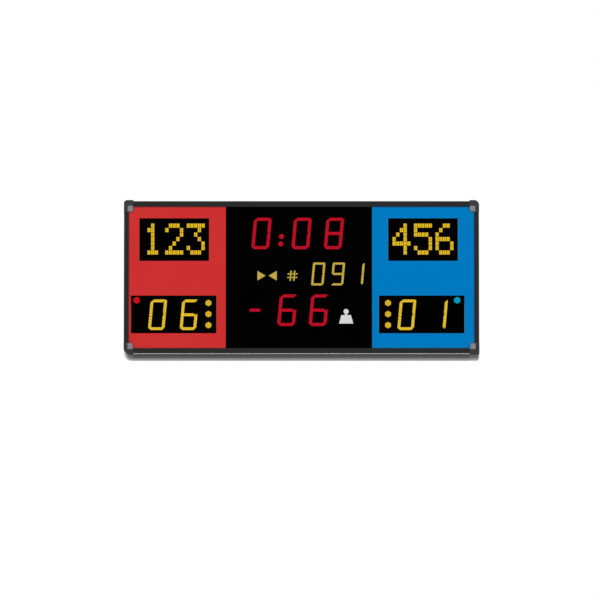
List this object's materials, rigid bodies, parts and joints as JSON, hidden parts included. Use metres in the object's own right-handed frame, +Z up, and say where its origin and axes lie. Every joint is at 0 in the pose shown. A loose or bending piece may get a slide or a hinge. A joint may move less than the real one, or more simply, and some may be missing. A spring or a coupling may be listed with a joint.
{
  "type": "electronic scoreboard",
  "caption": "Wall-hung electronic scoreboard for combat sports with lit timer, names, scores, penalty dots and a rear service hatch.",
  "frame": {"origin": "centre of the upper wall rail's rear face, where it lies on the wall", "axes": "+Z up, +X to the right seen from the front, the face looks along -Y and the wall is on the +Y side"},
  "size_m": [1.6534, 0.1375, 0.7535],
  "materials": {
    "rail": "satin",
    "cap": "matt",
    "plug": "satin",
    "red_sheet": "satin",
    "black_sheet": "satin",
    "blue_sheet": "satin",
    "window_tint": "gloss",
    "red_light": "lit",
    "yellow_light": "lit",
    "cyan_light": "lit",
    "white_light": "lit",
    "circuit": "satin",
    "dark_circuit": "satin",
    "aluminium": "satin",
    "zinc_steel": "satin",
    "dark_steel": "matt",
    "black_plastic": "matt",
    "red_plastic": "satin",
    "cable_jacket": "matt",
    "ribbon_jacket": "matt"
  },
  "bodies": {
    "casing": {"top_rail": "rail", "bottom_rail": "rail", "left_rail": "rail", "right_rail": "rail", "corner_cap_top_left": "cap", "corner_cap_top_right": "cap", "corner_cap_bottom_left": "cap", "corner_cap_bottom_right": "cap", "corner_plug_top_left": "plug", "corner_plug_top_right": "plug", "corner_plug_bottom_left": "plug", "corner_plug_bottom_right": "plug", "red_face_panel": "red_sheet", "centre_face_panel": "black_sheet", "blue_face_panel": "blue_sheet", "red_name_window": "window_tint", "red_name_pixels": "yellow_light", "red_name_board": "dark_circuit", "blue_name_window": "window_tint", "blue_name_pixels": "yellow_light", "blue_name_board": "dark_circuit", "red_score_window": "window_tint", "red_score_digits": "yellow_light", "red_lead_lamp": "red_light", "red_score_board": "dark_circuit", "blue_score_window": "window_tint", "blue_score_digits": "yellow_light", "blue_lead_lamp": "cyan_light", "blue_score_board": "dark_circuit", "timer_digits": "red_light", "match_number_digits": "yellow_light", "weight_digits": "red_light", "weight_mark": "white_light", "timer_board": "dark_circuit", "match_number_board": "dark_circuit", "weight_board": "dark_circuit", "module_rail_top": "aluminium", "module_rail_middle": "aluminium", "module_rail_bottom": "aluminium", "support_post_red": "aluminium", "support_post_blue": "aluminium", "chassis_plate": "zinc_steel", "power_supply": "zinc_steel", "controller_board": "circuit", "horn": "black_plastic", "rear_panel": "dark_steel", "hatch_hinge": "zinc_steel", "power_inlet": "black_plastic", "data_socket": "zinc_steel", "wall_rail_upper": "zinc_steel", "wall_rail_lower": "zinc_steel", "mains_loom": "cable_jacket", "supply_loom": "cable_jacket", "data_ribbon": "ribbon_jacket"},
    "hatch": {"service_hatch": "dark_steel"},
    "upper_latch": {"latch_upper": "black_plastic"},
    "lower_latch": {"latch_lower": "black_plastic"},
    "rocker": {"power_rocker": "red_plastic"},
    "fuse_tray": {"fuse_drawer": "black_plastic"}
  },
  "joints": [
    {"name": "hatch_swing", "type": "hinge", "parent": "casing", "child": "hatch", "pos_m": [-0.2663, -0.0285, -0.24], "axis": [0, 0, 1], "range_deg": [0, 110]},
    {"name": "upper_latch_turn", "type": "hinge", "parent": "hatch", "child": "upper_latch", "pos_m": [0.16, -0.0325, -0.17], "axis": [0, 1, 0], "range_deg": [0, 90]},
    {"name": "lower_latch_turn", "type": "hinge", "parent": "hatch", "child": "lower_latch", "pos_m": [0.16, -0.0325, -0.31], "axis": [0, 1, 0], "range_deg": [0, 90]},
    {"name": "rocker_tilt", "type": "hinge", "parent": "casing", "child": "rocker", "pos_m": [0.52, -0.03, -0.367], "axis": [1, 0, 0], "range_deg": [-14, 0]},
    {"name": "fuse_tray_slide", "type": "slide", "parent": "casing", "child": "fuse_tray", "axis": [0, 1, 0], "range_m": [0, 0.016]}
  ]
}
